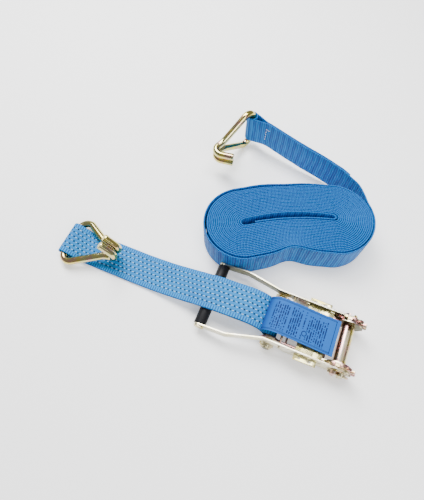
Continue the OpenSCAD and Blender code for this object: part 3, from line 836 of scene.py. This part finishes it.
def zinc(name, pale, warm, cool, rough=0.28, scale=38.0, drift=(0, 0, 0)):
    """Passivated zinc: a pale plate whose thin film drifts between warm and cool tints, with painted shade on
    the faces that its attribute marks.
    """
    m, s, shader = material(name, Metallic=1.0)
    place = own_place(s)
    moved = s.node("ShaderNodeVectorMath", props={"operation": "ADD"}, i0=place, i1=drift)
    film = s.node("ShaderNodeTexNoise", Vector=moved, Scale=scale, Detail=2.0, Distortion=1.2)
    fine_film = s.node("ShaderNodeTexNoise", Vector=moved, Scale=scale * 2.7, Detail=3.0)
    grain = s.node("ShaderNodeTexNoise", Vector=moved, Scale=1900.0, Detail=2.0)
    color = film.step(0.40, 0.60).blend(pale, warm)
    color = (fine_film.step(0.48, 0.72) * 0.75).blend(color, cool)
    wear = s.node("ShaderNodeTexNoise", Vector=moved, Scale=160.0, Detail=4.0)
    # Painted shade: faces that the attribute marks are darkened towards olive-black, where the ratchet's
    # inner faces lie in shade.
    inside = s.node("ShaderNodeAttribute", out=2, props={"attribute_name": "inside"})
    color = (inside * 0.92).blend(color, (0.085, 0.085, 0.04))
    bump = s.node("ShaderNodeBump", Strength=0.18, Distance=0.0002, Height=grain + wear)
    feed(m, shader, Base_Color=color, Roughness=rough + (wear - 0.5) * 0.25, Normal=bump)
    return m


def black_plastic():
    m, s, shader = material("grip_plastic", Specular_IOR_Level=0.15)
    place = own_place(s)
    grain = s.node("ShaderNodeTexNoise", Vector=place, Scale=900.0, Detail=3.0)
    color = grain.blend((0.004, 0.004, 0.005), (0.010, 0.010, 0.012))
    bump = s.node("ShaderNodeBump", Strength=0.2, Distance=0.0002, Height=grain)
    feed(m, shader, Base_Color=color, Roughness=0.34 + grain * 0.2, Normal=bump)
    return m


# ---------- the set ----------

make_camera()
make_light()
make_floor()

sewn_web = webbing("webbing_sewn", True)
loose_web = webbing("webbing_loose", False)
make_short_strap(sewn_web)
make_label()
make_long_strap(loose_web)

CREAM, PINK, YELLOW = (0.66, 0.60, 0.38), (0.58, 0.29, 0.28), (0.62, 0.52, 0.13)
MAUVE, BROWN = (0.40, 0.27, 0.42), (0.20, 0.09, 0.05)
hook_metal = zinc("zinc_hook", (0.50, 0.48, 0.22), YELLOW, PINK, 0.14, 40.0)
make_hooks(hook_metal)
spring_metal = zinc("spring_wire", (0.55, 0.55, 0.56), (0.6, 0.58, 0.52), (0.5, 0.5, 0.52), 0.3)
make_spring("pawl_spring_coil", "pawl_spring", -78.1, -58.1, SPRING_Z, spring_metal)
make_spring("lock_spring_coil", "lock_spring", -70.0, -50.0, -SPRING_Z, spring_metal)

plates = zinc("zinc_frame", PINK, CREAM, MAUVE, 0.30, 26.0, (1, 0, 0))
bolts = zinc("zinc_bolt", CREAM, YELLOW, PINK, 0.26, 60.0, (2, 0, 0))
arms = zinc("zinc_handle", (0.80, 0.77, 0.64), (0.74, 0.68, 0.48), (0.66, 0.60, 0.34), 0.32, 20.0, (3, 0, 0))
pawls = zinc("zinc_pawl", (0.72, 0.66, 0.34), YELLOW, CREAM, 0.26, 40.0, (4, 0, 0))
spool_pink = zinc("zinc_spool_front", (0.62, 0.40, 0.34), PINK, CREAM, 0.24, 30.0, (5, 0, 0))
spool_cream = zinc("zinc_spool_rear", CREAM, YELLOW, PINK, 0.24, 30.0, (5, 1, 0))
wheels = zinc("zinc_wheel", (0.50, 0.44, 0.22), PINK, BROWN, 0.26, 75.0, (6, 0, 0))
# Painted shade: a darker copy of the zinc for the parts that sit in shade deep inside the ratchet.
shaded_zinc = zinc("zinc_painted_shade", (0.20, 0.17, 0.09), (0.34, 0.18, 0.15), BROWN, 0.36, 34.0, (7, 0, 0))
grip = black_plastic()
# For each body: nodes, their metal, their slot, and the width of their broken edges in millimetres
FINISH = {
    "frame": [(("frame_plate_left", "frame_plate_right"), plates, "frame_plate", 0.35),
              (("lock_spring_seat",), shaded_zinc, "frame_plate", 0.35),
              (("tail_bolt", "tail_nut", "tail_sleeve"), bolts, "bolt_zinc", 0.4)],
    "handle": [(("handle_arm_left", "handle_arm_right"), arms, "handle_plate", 0.35),
               (("pawl_spring_seat",), shaded_zinc, "handle_plate", 0.35),
               (("grip_rod",), bolts, "rod_zinc", 0.4), (("grip_sleeve",), grip, "grip", 0.6)],
    "drive_pawl": [(("drive_pawl",), pawls, "pawl_plate", 0.4)],
    "lock_plate": [(("lock_plate",), shaded_zinc, "pawl_plate", 0.4)],
    "spool": [(("spool_half_front",), spool_pink, "spool_bar", 0.35),
              (("spool_half_rear",), spool_cream, "spool_bar", 0.35),
              (("ratchet_wheel_left", "ratchet_wheel_right"), wheels, "wheel_steel", 0.3),
              (("spool_washer_left", "spool_washer_right", "split_pin_left", "split_pin_right"), bolts,
               "small_zinc", 0.2)],
}
for body, groups in FINISH.items():
    for nodes, metal, slot, width in groups:
        for node in nodes:
            soften(node, body, metal, slot, width)
